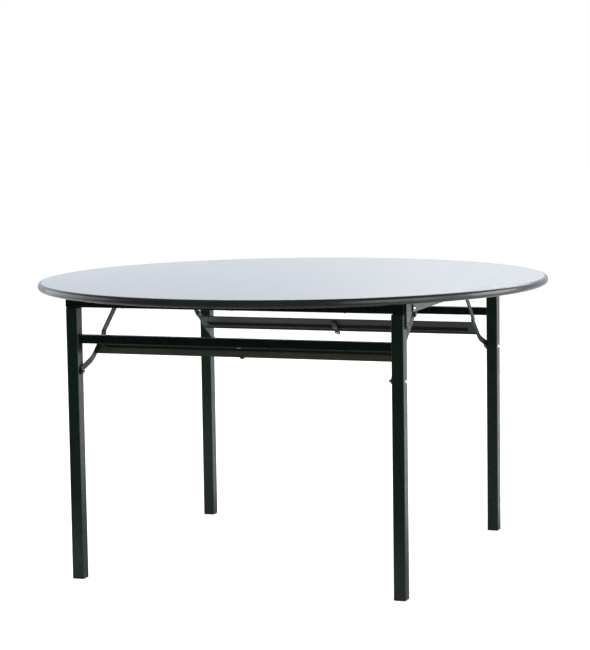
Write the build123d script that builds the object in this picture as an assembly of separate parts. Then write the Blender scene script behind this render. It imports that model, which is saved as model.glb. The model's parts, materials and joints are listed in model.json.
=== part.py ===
from build123d import *
from build123d.topology import SkipClean
import os
from math import atan2, cos, radians, sin, tan

os.makedirs("parts", exist_ok=True)

# Round folding table, in millimetres. +Z is up, the floor is at Z = 0 and the centre
# of the round top is above the origin. The two folding leg frames stand at the front
# (-Y) and at the rear (+Y), and their crossbars run along X.

# Overall sizes
table_height = 760.0
table_diameter = 1372.0

# Layers of the round top
laminate_thickness = 1.0
core_thickness = 18.0
backing_thickness = 1.0

# Edge band, a moulding with a rounded nose and a barb pressed into the core
band_reach = 9.0
band_nose_radius = 8.8
band_top_drop = 0.3
band_bottom_lap = 0.8
band_seat_gap = 0.1
barb_length = 9.0
barb_thickness = 2.6
barb_clearance = 0.15
band_sectors = 24

# Square steel tube of the legs and of the two end rails
leg_frame_width = 909.0
leg_frame_spread = 930.0
leg_size = 31.5
leg_wall = 1.5
leg_corner_radius = 2.2
rail_size = 28.0
rail_wall = 1.5
rail_corner_radius = 2.2

# Crossbar of each leg frame
crossbar_size = 22.0
crossbar_wall = 1.2
crossbar_corner_radius = 2.0
crossbar_drop = 130.5

# Side rails, angle iron under the edge of the top
side_rail_thickness = 3.0
side_rail_flange = 28.0
side_rail_end_gap = 36.5

# Hinge brackets at the four corners
bracket_thickness = 4.0
bracket_lap = 39.0
bracket_side_gap = 0.6
bracket_tongue_radius = 9.0
bracket_web_reach = 38.0
hinge_drop = 58.0
hinge_inset = 8.0
hinge_pin_radius = 5.0
hinge_head_radius = 8.0
hinge_head_height = 2.5
bracket_rivet_radius = 3.0
bracket_rivet_head_radius = 6.0
bracket_rivet_head_height = 4.0
bracket_rivet_tail_height = 1.5
bracket_rivet_inset = 8.0
bracket_rivet_drop = 18.0

# Leg ends
cap_height = 3.0
cap_chamfer = 2.0
cap_spigot_length = 12.0
plug_gap = 0.1
cap_stop_gap = 0.9
foot_base_height = 3.0
foot_height = 16.0
foot_chamfer = 1.0

# Folding stays: a bent lower link on the leg, and an upper link that hangs from an ear.
# Reaches and rises are from the stay's pivot on the leg.
front_pivot_drop = 215.0
rear_pivot_drop = 230.0
stay_pivot_inset = 2.0
root_rise = 5.0
kink_reach = 56.5
kink_rise = 34.5
knee_reach = 124.0
knee_rise = 88.5
front_ear_reach = 200.0
rear_ear_reach = 202.0
ear_drop = 48.0
lower_link_width = 16.0
lower_link_thickness = 3.0
lower_link_leg_gap = 1.0
lower_link_end_radius = 9.0
link_step_start = 8.0
link_step_end = 44.0
upper_link_width = 16.5
upper_link_thickness = 3.0
upper_link_leg_gap = 5.5
layer_gap = 0.3
ear_thickness = 3.0
ear_width = 18.0
ear_foot_length = 40.0
ear_foot_width = 25.0
ear_hole_spacing = 24.0
ear_rivet_head_height = 1.0
rivet_radius = 3.0
rivet_head_radius = 6.0
rivet_head_height = 2.6
rivet_tail_height = 1.2
running_clearance = 0.08
fixed_clearance = 0.05

# Bolt, nut and washer of each stay pivot
bolt_radius = 3.0
bolt_head_radius = 5.5
bolt_head_height = 3.2
bolt_reach = 11.0
nut_across_flats = 10.0
nut_height = 4.0
nut_gap = 0.2
spacer_radius = 6.2
spacer_end_gap = 0.2

# Connecting strip between the two lower links, and its catch lever
strip_width = 60.0
front_strip_start = 19.0
rear_strip_start = 26.0
strip_thickness = 1.5
strip_lip = 3.5
strip_end_inset = 0.5
bead_reach = 49.0
bead_width = 21.0
bead_height = 6.0
bead_end_inset = 14.0
bead_side_angle = 35.0
bead_corner_share = 0.33
front_catch_offset = -19.5
rear_catch_offset = -1.0
catch_shoulder_radius = 5.0
catch_shoulder_height = 3.4
catch_rivet_head_radius = 8.5
catch_rivet_head_height = 3.0
catch_rivet_tail_radius = 5.5
lever_length = 28.0
lever_tail = 20.0
lever_width = 15.0
lever_thickness = 2.0
front_lever_tilt = 27.0
rear_lever_tilt = 0.0
catch_stud_radius = 4.5
catch_stud_height = 5.0
catch_stud_neck_radius = 2.5
catch_stud_collar_height = 0.8

# Wood screws into the core
screw_radius = 2.1
screw_head_radius = 4.5
screw_head_height = 2.6
screw_recess_reach = 2.2
screw_recess_width = 1.0
screw_recess_depth = 1.3
screw_bite = 12.0
rail_screw_spacing = 300.0
side_screw_spacing = 280.0

# Every cut runs past its faces by this much
overrun = 1.0

# Heights worked out from the sizes above
top_radius = table_diameter / 2
core_radius = top_radius - band_reach
sheet_radius = core_radius - band_seat_gap
underside = table_height - laminate_thickness - core_thickness - backing_thickness
core_bottom = underside + backing_thickness
core_top = core_bottom + core_thickness
core_middle = core_bottom + core_thickness / 2
rail_bottom = underside - rail_size
crossbar_height = table_height - crossbar_drop

# Places of the legs, the hinges and the stays at the front right corner
leg_x = (leg_frame_width - leg_size) / 2
leg_y = (leg_frame_spread - leg_size) / 2
leg_outer_face = leg_x + leg_size / 2
leg_inner_face = leg_x - leg_size / 2
bracket_inner_face = leg_outer_face + bracket_side_gap
bracket_outer_face = bracket_inner_face + bracket_thickness
side_rail_outer_face = bracket_outer_face + side_rail_thickness
side_rail_seat = underside - side_rail_thickness
cap_top = rail_bottom - cap_stop_gap
tube_top = cap_top - cap_height

hinge = (-leg_y + hinge_inset, underside - hinge_drop)
side_rail_half_length = -hinge[0] - side_rail_end_gap

link_bolt_end_outer = leg_inner_face - lower_link_leg_gap
link_bolt_end_inner = link_bolt_end_outer - lower_link_thickness
upper_link_outer = leg_inner_face - upper_link_leg_gap
upper_link_inner = upper_link_outer - upper_link_thickness
lower_link_outer = upper_link_inner - layer_gap
lower_link_inner = lower_link_outer - lower_link_thickness
ear_inner = upper_link_outer + layer_gap
ear_outer = ear_inner + ear_thickness
ear_screw_x = ear_inner - (ear_foot_width - ear_thickness) / 2

strip_face = -lower_link_width / 2
strip_underside = strip_face - strip_thickness
bead_top = strip_face + bead_height
lever_face = strip_underside - catch_shoulder_height
lever_back = lever_face - lever_thickness - 2 * running_clearance


class Stay:
    """The (Y, Z) places of one end's stay, worked out at the front of the table."""

    def __init__(self, pivot_drop, ear_reach, strip_start):
        y = -leg_y + stay_pivot_inset
        z = table_height - pivot_drop
        self.pivot = (y, z)
        self.root = (y, z + root_rise)
        self.kink = (y + kink_reach, z + kink_rise)
        self.knee = (y + knee_reach, z + knee_rise)
        self.ear = (y + ear_reach, underside - ear_drop)
        self.strip_low = strip_start - bead_reach

    def lower_bar(self):
        """X along the lower part of the link, Y across the table, from the link's root."""
        slope = atan2(self.kink[1] - self.root[1], self.kink[0] - self.root[0])
        return Plane(
            origin=(0, *self.root), x_dir=(0, cos(slope), sin(slope)), z_dir=(0, sin(slope), -cos(slope))
        )

    def strip_plane(self):
        """X along the middle of the strip's rib, Y up its slope, Z out of its upper face."""
        slope = atan2(self.knee[1] - self.kink[1], self.knee[0] - self.kink[0])
        rib = (self.kink[0] + bead_reach * cos(slope), self.kink[1] + bead_reach * sin(slope))
        return Plane(origin=(0, *rib), x_dir=(1, 0, 0), z_dir=(0, -sin(slope), cos(slope)))


front_stay = Stay(front_pivot_drop, front_ear_reach, front_strip_start)
rear_stay = Stay(rear_pivot_drop, rear_ear_reach, rear_strip_start)

# Where each kind of wood screw goes: X, Y and the height of its head's seat
rail_screws = [
    (x, side * leg_y, rail_bottom)
    for side in (-1, 1)
    for x in (-rail_screw_spacing, 0, rail_screw_spacing)
]
side_rail_screws = [
    (side * (side_rail_outer_face - side_rail_flange / 2), y, side_rail_seat)
    for side in (-1, 1)
    for y in (-side_screw_spacing, 0, side_screw_spacing)
]
ear_screws = [
    (x_side * ear_screw_x, y_side * (stay.ear[0] + shift), underside - ear_thickness)
    for x_side in (-1, 1)
    for y_side, stay in ((1, front_stay), (-1, rear_stay))
    for shift in (-ear_hole_spacing / 2, ear_hole_spacing / 2)
]
all_screws = rail_screws + side_rail_screws + ear_screws


# Shared shapes

def box(x_ends, y_ends, z_ends):
    """A block between two values on each axis."""
    ends = (x_ends, y_ends, z_ends)
    size = [abs(b - a) for a, b in ends]
    middle = [(a + b) / 2 for a, b in ends]
    return Pos(*middle) * Box(*size)


def rod_x(x_start, x_end, place, radius):
    """A round rod along X through a (Y, Z) place."""
    middle = (x_start + x_end) / 2
    rod = Rot(0, 90, 0) * Cylinder(radius, abs(x_end - x_start))
    return Pos(middle, place[0], place[1]) * rod


def dome(radius, height):
    """A low rounded head that stands on the plane Z = 0 and rises along +Z."""
    sphere_radius = (radius * radius + height * height) / (2 * height)
    ball = Pos(0, 0, height - sphere_radius) * Sphere(sphere_radius)
    keep = Pos(0, 0, height / 2) * Box(2 * sphere_radius, 2 * sphere_radius, height)
    return ball & keep


def dome_x(x_seat, direction, place, radius, height):
    """A rounded head seated on a plane of constant X."""
    turn = Rot(0, 90 * direction, 0)
    return Pos(x_seat, place[0], place[1]) * turn * dome(radius, height)


def slice_x(sketch, x_start, x_end):
    """A (Y, Z) outline given thickness along X."""
    low, high = sorted((x_start, x_end))
    return extrude(Plane.YZ.offset(low) * sketch, amount=high - low)


def bar_outline(points, radius):
    """The outline of a bar with round ends that passes through the points."""
    outline = Pos(*points[0]) * Circle(radius)
    for start, end in zip(points, points[1:]):
        along = Vector(*end) - Vector(*start)
        across = Vector(-along.Y, along.X).normalized() * radius
        corners = [
            Vector(*start) + across,
            Vector(*end) + across,
            Vector(*end) - across,
            Vector(*start) - across,
        ]
        outline += make_face(Polyline([(c.X, c.Y) for c in corners], close=True))
        outline += Pos(*end) * Circle(radius)
    return outline


def tube_section(size, wall, corner_radius):
    """The section of a square tube with rounded corners."""
    inner_size = size - 2 * wall
    inner_radius = max(corner_radius - wall, wall / 2)
    return RectangleRounded(size, size, corner_radius) - RectangleRounded(
        inner_size, inner_size, inner_radius
    )


def screw_holes(radius):
    """Upright holes at every wood screw, from under the frame into the core."""
    low = rail_bottom - overrun
    holes = []
    for x, y, seat in all_screws:
        high = seat + screw_hole_depth(seat)
        holes.append(Pos(x, y, (low + high) / 2) * Cylinder(radius, high - low))
    return holes


def screw_hole_depth(seat):
    """How far a screw reaches above its seat: to its full bite in the core."""
    return core_bottom - seat + screw_bite


def mirrored(shape):
    """The same piece on the left side of the table."""
    return mirror(shape, about=Plane.YZ)


def turned(shape):
    """The same piece at the other end of the table."""
    return Rot(0, 0, 180) * shape


def four_corners(shape):
    """One piece at each corner, from the one at the front right."""
    return {
        "front_right": shape,
        "front_left": mirrored(shape),
        "rear_left": turned(shape),
        "rear_right": turned(mirrored(shape)),
    }


def both_sides(shape):
    """Right and left copies of a piece, as separate solids."""
    return [shape, mirrored(shape)]


parts = {}


def keep(name, shape):
    """Names a node. A list becomes one node of separate solids."""
    if isinstance(shape, list):
        shape = Compound(children=[Part() + piece for piece in shape])
    parts[name] = shape


# Round top

def top_disc(radius, low, high):
    """A flat round layer of the top."""
    return Pos(0, 0, (low + high) / 2) * Cylinder(radius, high - low)


def edge_band():
    """The moulding round the rim, turned from its section in equal sectors."""
    low = underside - band_bottom_lap
    high = table_height - band_top_drop
    nose = Pos((core_radius + top_radius) / 2, (low + high) / 2) * Rectangle(
        top_radius - core_radius, high - low
    )
    outer = nose.vertices().group_by(Axis.X)[-1]
    nose = fillet(outer, band_nose_radius)
    barb = Pos(core_radius - barb_length / 2, core_middle) * Rectangle(
        barb_length, barb_thickness
    )
    arc = 360 / band_sectors
    sector = revolve(Plane.XZ * (nose + barb), Axis.Z, revolution_arc=arc)
    with SkipClean():
        return sector + [Rot(0, 0, i * arc) * sector for i in range(1, band_sectors)]


def rim_groove():
    """The slot in the core's rim that takes the barb."""
    depth = barb_length + barb_clearance
    groove = Pos(core_radius - depth / 2 + overrun / 2, core_middle) * Rectangle(
        depth + overrun, barb_thickness + 2 * barb_clearance
    )
    return revolve(Plane.XZ * groove, Axis.Z)


holes_in_top = screw_holes(screw_radius + fixed_clearance)

keep("tabletop_core", top_disc(sheet_radius, core_bottom, core_top) - rim_groove() - holes_in_top)
keep("top_laminate", top_disc(sheet_radius, core_top, table_height))
keep("backing_sheet", top_disc(sheet_radius, underside, core_bottom) - holes_in_top)
keep("edge_band", edge_band())


# Fixed under-frame

def end_rail():
    """The square tube that the front legs stand against."""
    half = bracket_inner_face
    rail = Rot(0, 90, 0) * extrude(
        tube_section(rail_size, rail_wall, rail_corner_radius), amount=half, both=True
    )
    return Pos(0, -leg_y, rail_bottom + rail_size / 2) * rail - holes_in_top


def side_rail():
    """The angle iron on the right, with its web outside and its flange on top."""
    y_ends = (-side_rail_half_length, side_rail_half_length)
    web = box((bracket_outer_face, side_rail_outer_face), y_ends, (rail_bottom, underside))
    flange_start = side_rail_outer_face - side_rail_flange
    flange = box((flange_start, side_rail_outer_face), y_ends, (side_rail_seat, underside))
    rail = web + flange
    for end in (-1, 1):
        place = (end * bracket_rivet_place[0], bracket_rivet_place[1])
        reach = (bracket_inner_face, side_rail_outer_face + overrun)
        rail -= rod_x(*reach, place, bracket_rivet_radius + fixed_clearance)
    return rail - holes_in_top


bracket_end = -side_rail_half_length + bracket_lap
bracket_rivet_place = (-side_rail_half_length + bracket_rivet_inset, underside - bracket_rivet_drop)


def hinge_bracket():
    """The corner plate: a tongue for the hinge pin and a lap along the side rail."""
    front = hinge[0] - bracket_tongue_radius
    back = hinge[0] + bracket_tongue_radius
    outline = make_face(
        Polyline(
            [
                (front, side_rail_seat),
                (front, hinge[1]),
                (back, hinge[1]),
                (hinge[0] + bracket_web_reach, rail_bottom),
                (bracket_end, rail_bottom),
                (bracket_end, side_rail_seat),
            ],
            close=True,
        )
    )
    outline += Pos(*hinge) * Circle(bracket_tongue_radius)
    outline -= Pos(*hinge) * Circle(hinge_pin_radius + fixed_clearance)
    outline -= Pos(*bracket_rivet_place) * Circle(bracket_rivet_radius + fixed_clearance)
    return slice_x(outline, bracket_inner_face, bracket_outer_face)


def bracket_rivet():
    """Joins a hinge bracket to the side rail."""
    x_tail = bracket_inner_face
    x_head = side_rail_outer_face
    rivet = rod_x(x_tail, x_head, bracket_rivet_place, bracket_rivet_radius)
    rivet += dome_x(
        x_head, 1, bracket_rivet_place, bracket_rivet_head_radius, bracket_rivet_head_height
    )
    rivet += dome_x(
        x_tail, -1, bracket_rivet_place, bracket_rivet_head_radius, bracket_rivet_tail_height
    )
    return rivet


def hinge_pin():
    """Carries a leg in its bracket. Its inner end is flush with the leg."""
    pin = rod_x(leg_inner_face, bracket_outer_face, hinge, hinge_pin_radius)
    return pin + dome_x(bracket_outer_face, 1, hinge, hinge_head_radius, hinge_head_height)


def brace_ear(stay):
    """The angle bracket under the top that carries an upper link on its inner side."""
    foot_half = ear_foot_length / 2
    neck_half = ear_width / 2
    y, z = stay.ear
    outline = make_face(
        Polyline(
            [
                (y - foot_half, underside),
                (y + foot_half, underside),
                (y + neck_half, z),
                (y - neck_half, z),
            ],
            close=True,
        )
    )
    outline += Pos(y, z) * Circle(neck_half)
    outline -= Pos(y, z) * Circle(rivet_radius + fixed_clearance)
    plate = slice_x(outline, ear_inner, ear_outer)
    foot = box(
        (ear_outer - ear_foot_width, ear_outer),
        (y - foot_half, y + foot_half),
        (underside - ear_thickness, underside),
    )
    return plate + foot


def ear_rivet(stay):
    """The half of an ear's rivet that stays in the ear, with its flat head towards the leg."""
    rivet = rod_x(ear_inner, ear_outer, stay.ear, rivet_radius)
    return rivet + rod_x(
        ear_outer, ear_outer + ear_rivet_head_height, stay.ear, rivet_head_radius
    )


def wood_screw(x, y, seat):
    """A pan-head screw, head down, with its tip in the core."""
    length = screw_hole_depth(seat) - overrun
    shank = Pos(x, y, seat + length / 2) * Cylinder(screw_radius, length)
    head = Pos(x, y, seat) * Rot(180, 0, 0) * dome(screw_head_radius, screw_head_height)
    face = Pos(x, y, seat - screw_head_height)
    long_side = 2 * screw_recess_reach
    for sides in ((long_side, screw_recess_width), (screw_recess_width, long_side)):
        head -= face * Box(*sides, 2 * screw_recess_depth)
    return shank + head


keep("front_rail", end_rail())
keep("rear_rail", turned(end_rail()))
keep("right_side_rail", side_rail())
keep("left_side_rail", mirrored(side_rail()))
for corner, bracket in four_corners(hinge_bracket()).items():
    keep(corner + "_hinge_bracket", bracket)
keep("hinge_pins", list(four_corners(hinge_pin()).values()))
keep("bracket_rivets", list(four_corners(bracket_rivet()).values()))
keep(
    "ear_rivets",
    both_sides(ear_rivet(front_stay)) + [turned(s) for s in both_sides(ear_rivet(rear_stay))],
)
keep("wood_screws", [wood_screw(*place) for place in all_screws])


# Leg frames

def leg(stay):
    """The front right leg tube, with its pin and bolt holes."""
    section = tube_section(leg_size, leg_wall, leg_corner_radius)
    tube = extrude(section, amount=tube_top - foot_base_height)
    tube = Pos(leg_x, -leg_y, foot_base_height) * tube
    reach = (leg_inner_face - overrun, leg_outer_face + overrun)
    tube -= rod_x(*reach, hinge, hinge_pin_radius + running_clearance)
    return tube - rod_x(*reach, stay.pivot, bolt_radius + fixed_clearance)


def plug_section():
    """What fits inside a leg's tube."""
    size = leg_size - 2 * leg_wall - 2 * plug_gap
    return RectangleRounded(size, size, leg_corner_radius - leg_wall / 2)


def leg_cap():
    """The plug in the top of a leg, chamfered to clear the rail as the leg turns."""
    lid = extrude(RectangleRounded(leg_size, leg_size, leg_corner_radius), amount=cap_height)
    lid = chamfer(lid.faces().sort_by(Axis.Z)[-1].edges(), cap_chamfer)
    spigot = Pos(0, 0, -cap_spigot_length) * extrude(plug_section(), amount=cap_spigot_length)
    return Pos(leg_x, -leg_y, tube_top) * (lid + spigot)


def foot():
    """The plug in the bottom of a leg, with a base as wide as the tube."""
    base = extrude(RectangleRounded(leg_size, leg_size, leg_corner_radius), amount=foot_base_height)
    base = chamfer(base.faces().sort_by(Axis.Z)[0].edges(), foot_chamfer)
    return Pos(leg_x, -leg_y, 0) * (base + extrude(plug_section(), amount=foot_height))


def crossbar():
    """The square tube between the two legs of a frame."""
    section = tube_section(crossbar_size, crossbar_wall, crossbar_corner_radius)
    bar = Rot(0, 90, 0) * extrude(section, amount=leg_inner_face, both=True)
    return Pos(0, -leg_y, crossbar_height) * bar


def stay_bolt(stay):
    """The pivot bolt of a lower link, with its round head outside the leg."""
    bolt = rod_x(leg_inner_face - bolt_reach, leg_outer_face, stay.pivot, bolt_radius)
    return bolt + dome_x(leg_outer_face, 1, stay.pivot, bolt_head_radius, bolt_head_height)


def ring(place, radius):
    """A washer's outline on the pivot bolt."""
    return Pos(*place) * Circle(radius) - Pos(*place) * Circle(bolt_radius + fixed_clearance)


def stay_nut(stay):
    """The nut on the inner side of the lower link."""
    hexagon = Pos(*stay.pivot) * RegularPolygon(nut_across_flats / 2, 6, major_radius=False)
    hexagon -= Pos(*stay.pivot) * Circle(bolt_radius + fixed_clearance)
    start = link_bolt_end_inner - nut_gap
    return slice_x(hexagon, start - nut_height, start)


def stay_spacer(stay):
    """The washer that holds the lower link off the leg."""
    start = link_bolt_end_outer + spacer_end_gap
    return slice_x(ring(stay.pivot, spacer_radius), start, leg_inner_face)


# Folding stays

def lower_link(stay):
    """The bar from the leg to the knee: bent, and stepped in so that the upper link fits."""
    half_width = lower_link_width / 2
    length = (Vector(*stay.kink) - Vector(*stay.root)).length
    inner_side = [
        (0, link_bolt_end_inner),
        (link_step_start, link_bolt_end_inner),
        (link_step_end, lower_link_inner),
        (length, lower_link_inner),
    ]
    outer_side = [(along, x + lower_link_thickness) for along, x in reversed(inner_side)]
    step = stay.lower_bar() * make_face(Polyline(inner_side + outer_side, close=True))
    bar = extrude(step, amount=half_width, both=True)
    bolt_end = bar_outline([stay.pivot, stay.root], half_width)
    bolt_end += Pos(*stay.pivot) * Circle(lower_link_end_radius)
    bar += slice_x(bolt_end, link_bolt_end_inner, link_bolt_end_outer)
    knee_end = bar_outline([stay.kink, stay.knee], half_width)
    knee_end += Pos(*stay.knee) * Circle(lower_link_end_radius)
    bar += slice_x(knee_end, lower_link_inner, lower_link_outer)
    reach = (lower_link_inner - overrun, leg_inner_face)
    bar -= rod_x(*reach, stay.pivot, bolt_radius + running_clearance)
    return bar - rod_x(*reach, stay.knee, rivet_radius + fixed_clearance)


def upper_link(stay):
    """The flat bar from the knee to the ear."""
    outline = bar_outline([stay.knee, stay.ear], upper_link_width / 2)
    outline -= Pos(*stay.knee) * Circle(rivet_radius + running_clearance)
    outline -= Pos(*stay.ear) * Circle(rivet_radius + fixed_clearance)
    return slice_x(outline, upper_link_inner, upper_link_outer)


def knee_rivet(stay):
    """Joins the two links at the knee, with its round head towards the middle."""
    rivet = rod_x(lower_link_inner, upper_link_outer, stay.knee, rivet_radius)
    rivet += dome_x(lower_link_inner, -1, stay.knee, rivet_head_radius, rivet_head_height)
    return rivet + dome_x(upper_link_outer, 1, stay.knee, rivet_head_radius, rivet_tail_height)


def link_pin(stay):
    """The half of an ear's rivet that stays in the upper link, flush with both its sides."""
    return rod_x(upper_link_inner, upper_link_outer, stay.ear, rivet_radius)


def bead(width, length, height):
    """A long raised rib with sloping sides, from Z = 0 upwards."""
    foot = RectangleRounded(length, width, width * bead_corner_share)
    return extrude(foot, amount=height, taper=bead_side_angle)


def connecting_strip(stay, catch_offset):
    """The pressed strip that ties the two lower links together under their edges."""
    half = lower_link_outer - strip_end_inset
    low_edge = stay.strip_low
    high_edge = low_edge + strip_width
    plate = box((-half, half), (low_edge, high_edge), (strip_underside, strip_face))
    for low, high in ((low_edge, low_edge + strip_thickness), (high_edge - strip_thickness, high_edge)):
        plate += box((-half, half), (low, high), (strip_face - strip_lip, strip_face))
    length = 2 * (lower_link_inner - bead_end_inset)
    narrowing = 2 * strip_thickness * tan(radians(90 - bead_side_angle) / 2)
    plate += Pos(0, 0, strip_face) * bead(bead_width, length, bead_height)
    plate -= Pos(0, 0, strip_underside) * bead(
        bead_width - narrowing, length - narrowing, bead_height
    )
    hole = Pos(catch_offset, 0, bead_top)
    plate -= hole * Cylinder(rivet_radius + fixed_clearance, 2 * bead_height)
    strip = stay.strip_plane() * plate
    for side in (-1, 1):
        reach = (side * (lower_link_inner - overrun), side * (lower_link_outer + overrun))
        strip -= rod_x(*reach, stay.knee, lower_link_end_radius)
    return strip


def catch_rivet(stay, catch_offset):
    """The shouldered rivet in the rib that a catch lever turns on."""
    shank_middle = (bead_top + lever_back) / 2
    rivet = Pos(0, 0, shank_middle) * Cylinder(rivet_radius, bead_top - lever_back)
    rib_back = strip_underside + bead_height
    shoulder_end = lever_face + running_clearance
    shoulder = Cylinder(catch_shoulder_radius, rib_back - shoulder_end)
    rivet += Pos(0, 0, (rib_back + shoulder_end) / 2) * shoulder
    rivet += Pos(0, 0, bead_top) * dome(catch_rivet_head_radius, catch_rivet_head_height)
    tail = dome(catch_rivet_tail_radius, rivet_tail_height)
    rivet += Pos(0, 0, lever_back) * Rot(180, 0, 0) * tail
    return stay.strip_plane() * Pos(catch_offset, 0, 0) * rivet


def lever_point(catch_offset, tilt, distance):
    """A place on the middle line of a catch lever, this far from its pivot."""
    angle = radians(tilt)
    return (catch_offset + distance * sin(angle), -distance * cos(angle))


def catch_lever(stay, catch_offset, tilt):
    """The flat lever under the strip. Tilt is from the strip's slope, in degrees."""
    tip = lever_point(catch_offset, tilt, lever_length)
    outline = bar_outline([lever_point(catch_offset, tilt, -lever_tail), tip], lever_width / 2)
    outline -= Pos(catch_offset, 0) * Circle(rivet_radius + running_clearance)
    outline -= Pos(*tip) * Circle(catch_stud_neck_radius + fixed_clearance)
    lever = Pos(0, 0, lever_back + running_clearance) * extrude(outline, amount=lever_thickness)
    return stay.strip_plane() * lever


def catch_stud(stay, catch_offset, tilt):
    """The plated stud riveted into the lever's free end."""
    low = lever_back + running_clearance
    high = low + lever_thickness
    stud = Pos(0, 0, (low + high) / 2) * Cylinder(catch_stud_neck_radius, lever_thickness)
    stud += Pos(0, 0, low) * Rot(180, 0, 0) * dome(catch_stud_radius, catch_stud_height / 2)
    stud += Pos(0, 0, high) * dome(catch_stud_radius, catch_stud_collar_height)
    tip = lever_point(catch_offset, tilt, lever_length)
    return stay.strip_plane() * Pos(*tip, 0) * stud


def keep_end(end, stay, place, catch_offset, lever_tilt, right, left):
    """Keeps the ears and all that folds at one end. Place moves a front piece to that end."""
    for side, copy in ((right, place), (left, lambda shape: place(mirrored(shape)))):
        name = end + "_" + side
        keep(name + "_brace_ear", copy(brace_ear(stay)) - holes_in_top)
        keep(name + "_leg", copy(leg(stay)))
        keep(name + "_foot", copy(foot()))
        keep(name + "_lower_link", copy(lower_link(stay)))
        keep(name + "_upper_link", copy(upper_link(stay)))
        keep(name + "_link_pin", copy(link_pin(stay)))
    keep(end + "_leg_caps", [place(s) for s in both_sides(leg_cap())])
    keep(end + "_crossbar", place(crossbar()))
    keep(end + "_stay_bolts", [place(s) for s in both_sides(stay_bolt(stay))])
    keep(end + "_stay_nuts", [place(s) for s in both_sides(stay_nut(stay))])
    keep(end + "_stay_spacers", [place(s) for s in both_sides(stay_spacer(stay))])
    keep(end + "_knee_rivets", [place(s) for s in both_sides(knee_rivet(stay))])
    keep(end + "_connecting_strip", place(connecting_strip(stay, catch_offset)))
    keep(end + "_catch_rivet", place(catch_rivet(stay, catch_offset)))
    keep(end + "_catch_lever", place(catch_lever(stay, catch_offset, lever_tilt)))
    keep(end + "_catch_stud", place(catch_stud(stay, catch_offset, lever_tilt)))


keep_end(
    "front", front_stay, lambda shape: shape, front_catch_offset, front_lever_tilt, "right", "left"
)
keep_end("rear", rear_stay, turned, rear_catch_offset, rear_lever_tilt, "left", "right")

for name, shape in parts.items():
    export_step(shape, os.path.join("parts", name + ".step"))
print(len(parts), "nodes")
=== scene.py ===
import json
import math

import bmesh
import bpy
from mathutils import Matrix, Vector


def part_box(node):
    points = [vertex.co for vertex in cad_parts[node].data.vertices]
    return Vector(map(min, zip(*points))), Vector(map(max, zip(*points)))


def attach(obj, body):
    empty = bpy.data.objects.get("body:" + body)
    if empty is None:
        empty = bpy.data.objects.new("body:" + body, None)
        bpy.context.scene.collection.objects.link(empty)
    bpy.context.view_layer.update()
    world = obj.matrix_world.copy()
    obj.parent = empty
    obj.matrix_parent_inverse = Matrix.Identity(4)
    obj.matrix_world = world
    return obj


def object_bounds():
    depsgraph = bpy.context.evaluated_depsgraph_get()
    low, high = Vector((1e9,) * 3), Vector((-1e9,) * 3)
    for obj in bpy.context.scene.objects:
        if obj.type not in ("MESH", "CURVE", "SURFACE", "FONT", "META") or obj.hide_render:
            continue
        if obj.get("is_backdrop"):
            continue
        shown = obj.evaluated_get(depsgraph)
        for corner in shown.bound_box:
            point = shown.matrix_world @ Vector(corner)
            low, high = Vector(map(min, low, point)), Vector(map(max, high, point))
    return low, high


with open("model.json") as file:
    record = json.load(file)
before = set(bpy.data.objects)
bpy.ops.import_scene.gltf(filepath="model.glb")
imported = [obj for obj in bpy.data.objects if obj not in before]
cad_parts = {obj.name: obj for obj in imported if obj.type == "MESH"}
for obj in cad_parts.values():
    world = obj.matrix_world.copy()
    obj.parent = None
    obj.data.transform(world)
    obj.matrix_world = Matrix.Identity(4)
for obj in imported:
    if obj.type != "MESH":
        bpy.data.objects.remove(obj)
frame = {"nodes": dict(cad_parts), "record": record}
cad_low, cad_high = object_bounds()
nodes = frame["nodes"]

# Camera. The photograph's frame is portrait, so the lens belongs to the image height.
IMAGE_HEIGHT = 650
SENSOR = 36.0
FOCAL_PIXELS = 2134.96
CAMERA_PLACE = Vector((1.98115, -5.40566, 1.23818))
CAMERA_YAW = -0.3506
CAMERA_PITCH = 0.1057
CAMERA_ROLL = -0.015
CAMERA_NEAR_LIMIT = 0.05


def add_camera():
    """The photograph's own viewpoint."""
    forward = Vector((
        math.sin(CAMERA_YAW) * math.cos(CAMERA_PITCH),
        math.cos(CAMERA_YAW) * math.cos(CAMERA_PITCH),
        -math.sin(CAMERA_PITCH),
    ))
    level = Vector((math.cos(CAMERA_YAW), -math.sin(CAMERA_YAW), 0))
    raised = level.cross(forward)
    right = level * math.cos(CAMERA_ROLL) + raised * math.sin(CAMERA_ROLL)
    up = raised * math.cos(CAMERA_ROLL) - level * math.sin(CAMERA_ROLL)
    turn = Matrix((right, up, -forward)).transposed()
    data = bpy.data.cameras.new("camera")
    data.sensor_width = SENSOR
    data.lens = FOCAL_PIXELS * SENSOR / IMAGE_HEIGHT
    data.clip_start = CAMERA_NEAR_LIMIT
    camera = bpy.data.objects.new("camera", data)
    camera.matrix_world = Matrix.Translation(CAMERA_PLACE) @ turn.to_4x4()
    bpy.context.scene.collection.objects.link(camera)
    bpy.context.scene.camera = camera


# Shader nodes

def linear(*srgb):
    """A colour as seen, 0 to 255, as the shader's own linear numbers."""
    out = []
    for part in srgb:
        part /= 255
        out.append(part / 12.92 if part <= 0.04045 else ((part + 0.055) / 1.055) ** 2.4)
    return (*out, 1.0)


# The stretch of a noise's values that is spread over a whole range, for patches and for flecks
PATCH_RANGE = (0.3, 0.7)
FLECK_RANGE = (0.35, 0.65)


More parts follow.
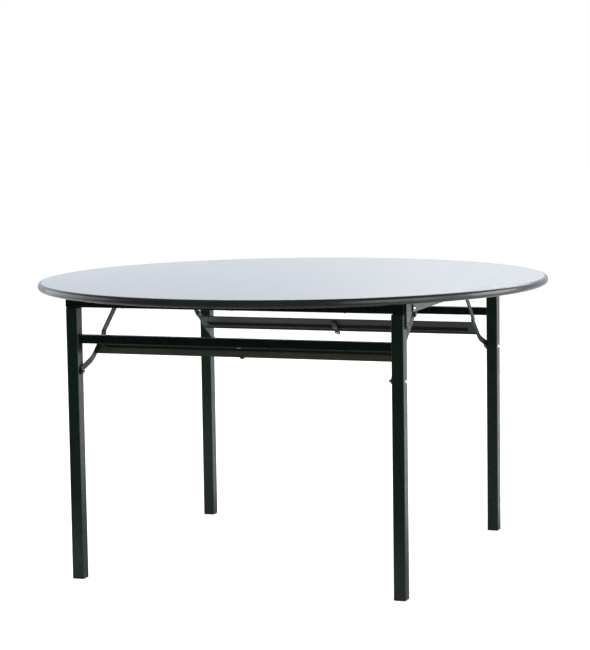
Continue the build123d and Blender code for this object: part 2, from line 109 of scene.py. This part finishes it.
class Nodes:
    """Short ways to fill a node tree. A value is plain, or it is another node's output."""

    def __init__(self, tree):
        self.tree = tree

    def add(self, kind, **settings):
        node = self.tree.nodes.new(kind)
        for key, value in settings.items():
            setattr(node, key, value)
        return node

    def feed(self, node, socket, value):
        """Puts a plain value or another node's output into a socket."""
        if isinstance(value, bpy.types.NodeSocket):
            self.tree.links.new(value, node.inputs[socket])
        else:
            node.inputs[socket].default_value = value

    def math(self, operation, a, b):
        node = self.add("ShaderNodeMath", operation=operation)
        self.feed(node, 0, a)
        self.feed(node, 1, b)
        return node.outputs[0]

    def mix_number(self, factor, a, b):
        """Number a to number b by a factor."""
        node = self.add("ShaderNodeMix", data_type="FLOAT")
        for socket, value in ((0, factor), (2, a), (3, b)):
            self.feed(node, socket, value)
        return node.outputs[0]

    def mix_colour(self, factor, a, b):
        """Colour a to colour b by a factor."""
        node = self.add("ShaderNodeMix", data_type="RGBA")
        for socket, value in ((0, factor), (6, a), (7, b)):
            self.feed(node, socket, value)
        return node.outputs[2]

    def remap(self, value, low, high, to_low=0.0, to_high=1.0, kind="LINEAR"):
        """Takes low to to_low and high to to_high, and holds the ends."""
        node = self.add("ShaderNodeMapRange", interpolation_type=kind)
        self.feed(node, "Value", value)
        self.feed(node, "From Min", low)
        self.feed(node, "From Max", high)
        self.feed(node, "To Min", to_low)
        self.feed(node, "To Max", to_high)
        return node.outputs["Result"]

    def along(self, vector, letter):
        """One of a vector's X, Y and Z."""
        node = self.add("ShaderNodeSeparateXYZ")
        self.feed(node, 0, vector)
        return node.outputs[letter]

    def distance(self, vector):
        node = self.add("ShaderNodeVectorMath", operation="LENGTH")
        self.feed(node, 0, vector)
        return node.outputs["Value"]


class Shade(Nodes):
    """A node material in the part's own coordinates, in metres."""

    def __init__(self, name, roughness, ior=1.5, metallic=0.0):
        self.material = bpy.data.materials.new(name)
        self.material.use_nodes = True
        super().__init__(self.material.node_tree)
        self.shader = self.tree.nodes["Principled BSDF"]
        self.feed(self.shader, "Roughness", roughness)
        self.feed(self.shader, "IOR", ior)
        self.feed(self.shader, "Metallic", metallic)
        coordinates = self.add("ShaderNodeTexCoord")
        self.place = coordinates.outputs["Object"]
        self.normal = coordinates.outputs["Normal"]

    def stretch(self, scale):
        """The part's coordinates scaled by a different factor on each axis."""
        node = self.add("ShaderNodeMapping")
        self.feed(node, "Scale", scale)
        self.feed(node, "Vector", self.place)
        return node.outputs["Vector"]

    def noise(self, scale, detail, roughness=0.5, vector=None):
        """Noise with this many cells to a metre."""
        node = self.add("ShaderNodeTexNoise")
        self.feed(node, "Scale", scale)
        self.feed(node, "Detail", detail)
        self.feed(node, "Roughness", roughness)
        self.feed(node, "Vector", vector or self.place)
        return node.outputs["Fac"]

    def cloud(self, scale, detail):
        """Soft patches from 0 to 1."""
        return self.remap(self.noise(scale, detail), *PATCH_RANGE)

    def fleck(self, scale, detail, roughness=0.5, vector=None):
        """Sharper patches from 0 to 1."""
        return self.remap(self.noise(scale, detail, roughness, vector), *FLECK_RANGE)

    def colour(self, value):
        self.feed(self.shader, "Base Color", value)

    def gloss(self, value, smooth, rough):
        """Roughness that wanders with a noise."""
        self.feed(self.shader, "Roughness", self.remap(value, *PATCH_RANGE, smooth, rough))

    def bump(self, height, distance):
        """Relief of this height, in metres."""
        node = self.add("ShaderNodeBump")
        self.feed(node, "Strength", 1.0)
        self.feed(node, "Distance", distance)
        self.feed(node, "Height", height)
        self.feed(self.shader, "Normal", node.outputs["Normal"])


# Materials

SCUFF_COLOUR = linear(66, 67, 62)

# How high scuffs and floor dust reach, how level a face has to be to hold dust and painted top light,
# and how much lighter than its tint plating wears, of 255
SCUFF_TOP = 0.16
DUST_TOP = 0.008
LIT_AND_DUSTY_SLOPES = (0.45, 0.75)
PLATING_WEAR = 16


def laminate_material():
    """Satin pale grey laminate: a faint fleck, soft clouds and a fine grained surface."""
    shade = Shade("laminate", roughness=0.42, ior=1.4)
    base = shade.mix_colour(shade.fleck(900, 3), linear(204, 210, 217), linear(209, 216, 223))
    shade.colour(shade.mix_colour(shade.cloud(5, 4), base, linear(207, 213, 220)))
    shade.gloss(shade.noise(30, 5), 0.36, 0.48)
    shade.bump(shade.noise(1400, 2), 0.00006)
    return shade.material


def band_material():
    """Extruded dark vinyl: fine lines along the moulding and a soft gloss."""
    shade = Shade("edge_band", roughness=0.2)
    lines = shade.noise(1.0, 3, vector=shade.stretch((6, 6, 2600)))
    shade.colour(shade.mix_colour(shade.cloud(9, 4), linear(33, 37, 36), linear(42, 46, 45)))
    shade.gloss(lines, 0.17, 0.26)
    shade.bump(lines, 0.00012)
    return shade.material


def coat_material(name, dark, light, roughness, ior, grain=700, dust_and_painted_light=None):
    """Baked paint on steel: orange-peel grain, uneven gloss, scuffs near the floor, and, if given, dust
    with painted light on upward faces.
    """
    shade = Shade(name, roughness, ior)
    base = shade.mix_colour(shade.cloud(11, 5), linear(*dark), linear(*light))
    # Upward faces get a lighter tone, partly settled dust and partly painted light from above
    if dust_and_painted_light:
        lit_and_settled = shade.remap(shade.along(shade.normal, "Z"), *LIT_AND_DUSTY_SLOPES)
        patches = shade.remap(shade.noise(26, 5, 0.6), 0.3, 0.6, 0.7, 1.0)
        base = shade.mix_colour(shade.math("MULTIPLY", lit_and_settled, patches), base, linear(*dust_and_painted_light))
    low = shade.remap(shade.along(shade.place, "Z"), SCUFF_TOP, 0.0)
    scuff = shade.math("MULTIPLY", low, shade.remap(shade.noise(70, 6, 0.6), 0.55, 0.85))
    shade.colour(shade.mix_colour(scuff, base, SCUFF_COLOUR))
    shade.gloss(shade.noise(45, 4), roughness - 0.06, roughness + 0.08)
    shade.bump(shade.noise(grain, 2), 0.00005)
    return shade.material


def plating_material(name, tint, roughness, metallic=1.0):
    """Zinc with a fine brushed grain. Worn plating is less metallic."""
    shade = Shade(name, roughness, metallic=metallic)
    worn = [min(255, v + PLATING_WEAR) for v in tint]
    shade.colour(shade.mix_colour(shade.cloud(60, 4), linear(*tint), linear(*worn)))
    shade.gloss(shade.noise(400, 4), roughness - 0.05, roughness + 0.1)
    shade.bump(shade.noise(2500, 2), 0.00003)
    return shade.material


def rubber_material():
    """Moulded dark plug with dust on its lowest edge."""
    shade = Shade("rubber", roughness=0.7, ior=1.45)
    low = shade.remap(shade.along(shade.place, "Z"), DUST_TOP, 0.0)
    dust_and_painted_light = shade.math("MULTIPLY", low, shade.remap(shade.noise(220, 6, 0.6), 0.4, 0.7))
    shade.colour(shade.mix_colour(dust_and_painted_light, linear(36, 39, 37), linear(78, 77, 72)))
    shade.gloss(shade.noise(300, 3), 0.62, 0.8)
    shade.bump(shade.noise(1600, 3), 0.00015)
    return shade.material


def backing_material():
    """Brown balancing paper under the core."""
    shade = Shade("backing", roughness=0.8, ior=1.4)
    fibre = shade.fleck(260, 5, 0.6, shade.stretch((1, 0.25, 1)))
    base = shade.mix_colour(fibre, linear(124, 115, 98), linear(140, 130, 111))
    shade.colour(shade.mix_colour(shade.cloud(4, 4), base, linear(131, 122, 104)))
    shade.gloss(shade.noise(60, 3), 0.74, 0.86)
    shade.bump(shade.noise(900, 3), 0.00008)
    return shade.material


def core_material():
    """Pressed particle board, hidden between the sheets and the band."""
    shade = Shade("core_board", roughness=0.9, ior=1.4)
    chip = shade.fleck(500, 5, 0.7)
    shade.colour(shade.mix_colour(chip, linear(148, 118, 84), linear(188, 156, 116)))
    shade.feed(shade.shader, "Roughness", shade.remap(chip, 0.0, 1.0, 0.82, 0.95))
    shade.bump(shade.noise(500, 5), 0.0003)
    return shade.material


materials = {
    "laminate": laminate_material(),
    "core_board": core_material(),
    "backing": backing_material(),
    "edge": band_material(),
    "tube_paint": coat_material("tube_paint", (0, 17, 11), (1, 21, 14), 0.3, 1.5),
    # A lighter copy of the tube paint for the legs: painted light, so they read brighter than the
    # crossbars
    "lit_leg_paint": coat_material("lit_leg_paint", (12, 32, 22), (16, 36, 25), 0.3, 1.5),
    "frame_paint": coat_material("frame_paint", (38, 41, 41), (46, 49, 49), 0.36, 1.9),
    # The stays' last colour is dust and painted light on their upward faces
    "stay_paint": coat_material("stay_paint", (18, 28, 21), (25, 35, 27), 0.38, 1.5, 900, (84, 92, 80)),
    "dark_pins": coat_material("dark_pins", (34, 34, 34), (44, 44, 42), 0.34, 1.45, 1200),
    "zinc": plating_material("zinc", (206, 208, 208), 0.24),
    "dull_zinc": plating_material("dull_zinc", (128, 130, 126), 0.42),
    "worn_zinc": plating_material("worn_zinc", (196, 198, 194), 0.45, 0.3),
    "rubber": rubber_material(),
    "black_plastic": coat_material("black_plastic", (22, 22, 23), (30, 30, 31), 0.5, 1.45, 1200),
}

# Nodes that don't look like the rest of their slot
# The legs take the lit copy of the tube paint, which is painted light
looks = {f"{end}_{side}_leg": "lit_leg_paint" for end in ("front", "rear") for side in ("left", "right")}
looks["front_catch_rivet"] = "worn_zinc"

for part in frame["record"]["subparts"]:
    mesh = nodes[part["node"]].data
    mesh.materials.clear()
    mesh.materials.append(materials[looks.get(part["node"], part["material_slot"])])


# Weld beads

BEAD_RADIUS = 0.0019
BEAD_PITCH = 0.0022
BEAD_RIPPLE = 0.13
BEAD_SIDES = 8
BEAD_INSET = 0.0008
RINGS_PER_RIPPLE = 4


def bead_ring(middle, along, size):
    """One cross-section of a bead, square to its path."""
    side = along.orthogonal().normalized()
    other = along.cross(side)
    ring = []
    for i in range(BEAD_SIDES):
        angle = 2 * math.pi * i / BEAD_SIDES
        ring.append(middle + (side * math.cos(angle) + other * math.sin(angle)) * size)
    return ring


def bead_run(bm, start, end):
    """A rippled rod from one corner of the path to the next, closed at both ends."""
    along = (end - start).normalized()
    ripples = max(1, round((end - start).length / BEAD_PITCH))
    steps = ripples * RINGS_PER_RIPPLE
    rings = []
    for i in range(steps + 1):
        wave = 0.5 + 0.5 * math.cos(2 * math.pi * i / RINGS_PER_RIPPLE)
        size = BEAD_RADIUS * (1 - BEAD_RIPPLE * wave)
        points = bead_ring(start.lerp(end, i / steps), along, size)
        rings.append([bm.verts.new(p) for p in points])
    for near, far in zip(rings, rings[1:]):
        for k in range(BEAD_SIDES):
            after = (k + 1) % BEAD_SIDES
            bm.faces.new((near[k], near[after], far[after], far[k]))
    bm.faces.new(rings[0][::-1])
    bm.faces.new(rings[-1])


def weld_bead(name, corners, body, slot_name):
    """A rippled bead of weld along straight runs between corners, back to the first."""
    bm = bmesh.new()
    for start, end in zip(corners, corners[1:] + corners[:1]):
        bead_run(bm, start, end)
    bmesh.ops.recalc_face_normals(bm, faces=bm.faces)
    mesh = bpy.data.meshes.new(name)
    bm.to_mesh(mesh)
    bm.free()
    mesh.polygons.foreach_set("use_smooth", [True] * len(mesh.polygons))
    mesh.materials.append(materials[slot_name])
    bead = bpy.data.objects.new(name, mesh)
    bpy.context.scene.collection.objects.link(bead)
    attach(bead, body)


def crossbar_corners(low, high, x):
    """The corners of a crossbar's end, where it meets the leg."""
    near, far = low.y + BEAD_INSET, high.y - BEAD_INSET
    bottom, top = low.z + BEAD_INSET, high.z - BEAD_INSET
    return [Vector((x, y, z)) for y, z in ((near, bottom), (far, bottom), (far, top), (near, top))]


for end in ("front", "rear"):
    low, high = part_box(end + "_crossbar")
    for side, x in (("left", low.x), ("right", high.x)):
        corners = crossbar_corners(low, high, x)
        weld_bead(f"{end}_{side}_crossbar_weld", corners, end + "_leg_frame", "tube_paint")


# Studio: a pale floor and a white surround. Gloss mirrors a room with a dark front and ceiling.

WHITE = (1.0, 1.0, 1.0, 1.0)
COOL_WHITE = (0.90, 0.95, 1.06, 1.0)
AMBIENT_LIGHT = 0.48
FLOOR_SIZE = 60.0
FLOOR_COLOUR = (0.8, 0.8, 0.8, 1.0)
# The floor's colour to mirror rays where its painted shade is darkest
FLOOR_SHADE_GREY = (0.03, 0.03, 0.03, 1.0)
FLOOR_ROUGHNESS = 0.9
FLOOR_GLOW = 0.68
FLOOR_MIRROR_LIGHT = 0.7

# What gloss mirrors: the light in each dark part, and where it ends, from dark to lit.
# The floor's are places in metres, the sky's and ceiling's are directions.
# Under the table, the floor's glow to mirror rays holds a painted shadow of the table
UNDER_TABLE_LIGHT = 0.3
UNDER_TABLE_RADII = [cad_high.x * share for share in (0.75, 1.6)]
DARK_SIDE_LIGHT = 0.02
DARK_FLOOR_ENDS = (-1.35, -0.45)
DARK_SKY_ENDS = (-0.55, 0.05)
CEILING_LIGHT = 0.12
CEILING_ENDS = (0.62, 0.28)


class Light(Nodes):
    """The nodes of something that shines, and that looks different to the rays of each kind."""

    def __init__(self, tree):
        super().__init__(tree)
        path = self.add("ShaderNodeLightPath")
        self.camera = path.outputs["Is Camera Ray"]
        glossy = path.outputs["Is Glossy Ray"]
        through_glass = path.outputs["Is Transmission Ray"]
        self.mirror = self.math("MAXIMUM", glossy, through_glass)

    def fall_off(self, distance, ends, dark):
        """1 where the studio is lit, falling smoothly to its dark part's light."""
        return self.remap(distance, *ends, dark, 1.0, "SMOOTHSTEP")

    def tint(self):
        """White, and a cooler white to mirror rays."""
        return self.mix_colour(self.mirror, WHITE, COOL_WHITE)


def add_world():
    """Plain white to the camera, even light to matt surfaces, and a room for gloss to mirror."""
    world = bpy.data.worlds.new("studio")
    bpy.context.scene.world = world
    world.use_nodes = True
    light = Light(world.node_tree)
    background = light.tree.nodes["Background"]
    way = light.add("ShaderNodeTexCoord").outputs["Generated"]
    walls = light.fall_off(light.along(way, "Y"), DARK_SKY_ENDS, DARK_SIDE_LIGHT)
    ceiling = light.fall_off(light.along(way, "Z"), CEILING_ENDS, CEILING_LIGHT)
    room = light.math("MULTIPLY", walls, ceiling)
    strength = light.mix_number(light.camera, light.mix_number(light.mirror, AMBIENT_LIGHT, room), 1.0)
    light.feed(background, "Color", light.tint())
    light.feed(background, "Strength", strength)


def floor_material():
    """Pale and even to the camera. To mirror rays it holds painted shade in front of the table and a
    painted shadow of the table under it.
    """
    material = bpy.data.materials.new("floor")
    material.use_nodes = True
    light = Light(material.node_tree)
    shader = light.tree.nodes["Principled BSDF"]
    light.feed(shader, "Roughness", FLOOR_ROUGHNESS)
    light.feed(shader, "Specular IOR Level", 0.0)
    place = light.add("ShaderNodeTexCoord").outputs["Object"]
    # Painted shade in front of the table and a painted shadow under it, for mirror rays only
    front = light.fall_off(light.along(place, "Y"), DARK_FLOOR_ENDS, DARK_SIDE_LIGHT)
    under = light.fall_off(light.distance(place), UNDER_TABLE_RADII, UNDER_TABLE_LIGHT)
    mirrored = light.math("MULTIPLY", light.math("MULTIPLY", front, under), FLOOR_MIRROR_LIGHT)
    shown = light.mix_number(light.mirror, 1.0, mirrored)
    light.feed(shader, "Base Color", light.mix_colour(shown, FLOOR_SHADE_GREY, FLOOR_COLOUR))
    glows = light.mix_number(light.math("MAXIMUM", light.camera, light.mirror), 0.0, shown)
    light.feed(shader, "Emission Color", light.tint())
    light.feed(shader, "Emission Strength", light.math("MULTIPLY", glows, FLOOR_GLOW))
    return material


def add_floor():
    """A wide square at floor height. It is the studio's and no part of the table."""
    mesh = bpy.data.meshes.new("floor")
    half = FLOOR_SIZE / 2
    corners = [(-half, -half, 0), (half, -half, 0), (half, half, 0), (-half, half, 0)]
    mesh.from_pydata(corners, [], [(0, 1, 2, 3)])
    floor = bpy.data.objects.new("floor", mesh)
    bpy.context.scene.collection.objects.link(floor)
    mesh.materials.append(floor_material())
    floor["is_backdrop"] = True


def add_lamp(name, place, target_height, size, watts, mirrored=True):
    """A soft box outside the picture, aimed at this height on the table's middle line."""
    data = bpy.data.lights.new(name, "AREA")
    data.shape = "RECTANGLE"
    data.size, data.size_y = size
    data.energy = watts
    lamp = bpy.data.objects.new(name, data)
    lamp.visible_camera = False
    lamp.visible_glossy = mirrored
    aim = (Vector((0, 0, target_height)) - Vector(place)).to_track_quat("-Z", "Y")
    lamp.matrix_world = Matrix.Translation(place) @ aim.to_matrix().to_4x4()
    bpy.context.scene.collection.objects.link(lamp)


add_camera()
add_world()
add_floor()
add_lamp("right", (4.6, 1.9, 1.3), target_height=0.7, size=(2.6, 2.4), watts=104)
add_lamp("left", (-4.6, -0.1, 1.3), target_height=0.7, size=(5.0, 2.4), watts=52)
add_lamp("left_fill", (-3.2, 0.2, 2.6), target_height=0.7, size=(2.0, 2.0), watts=60, mirrored=False)
add_lamp("front_right", (4.4, -2.2, 1.2), target_height=0.6, size=(3.6, 2.4), watts=86)
add_lamp("back", (0.5, 4.5, 3.6), target_height=0.6, size=(4.0, 2.0), watts=90)

scene = bpy.context.scene
scene.view_settings.view_transform = "Standard"

low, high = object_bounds()
